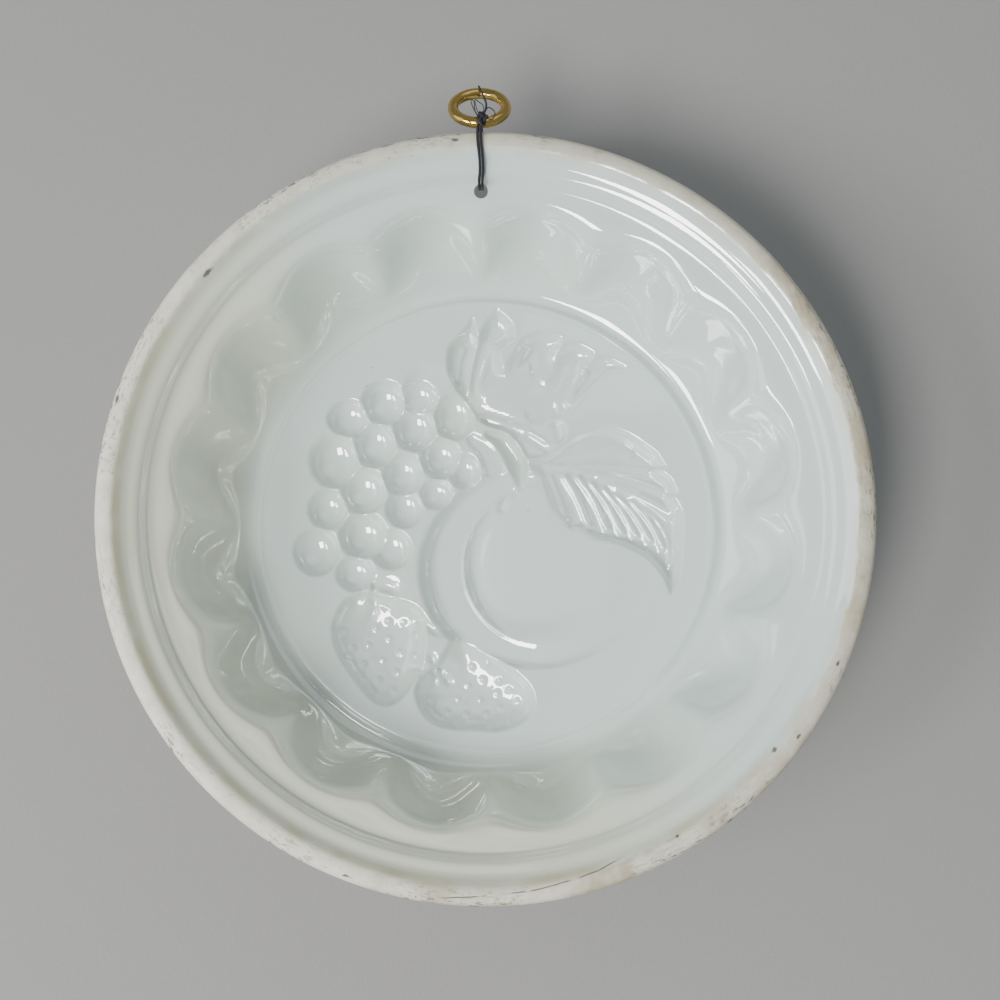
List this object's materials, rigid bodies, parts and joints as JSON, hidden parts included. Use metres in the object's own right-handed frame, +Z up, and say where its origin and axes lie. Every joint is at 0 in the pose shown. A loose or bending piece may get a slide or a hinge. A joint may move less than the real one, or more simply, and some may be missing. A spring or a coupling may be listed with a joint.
{
  "type": "decorative ceramic wall plaque",
  "caption": "Round fluted ceramic dish with a fruit relief pressed into its floor, hung as a wall plaque by a doubled thread and a small brass ring.",
  "frame": {"origin": "under the top of the brass ring, where the nail or hook bears", "axes": "+Z up as it hangs, +Y from the wall into the room, so the hollow side and its raw rim face -Y; X across"},
  "size_m": [0.225, 0.0578, 0.243],
  "materials": {
    "white_glaze": "white glossy glazed ceramic",
    "brass": "polished, slightly worn",
    "dark_thread": "twisted sewing thread"
  },
  "bodies": {
    "root": {"ceramic_plaque": "white_glaze", "brass_ring": "brass", "hanging_thread": "dark_thread"}
  },
  "joints": []
}
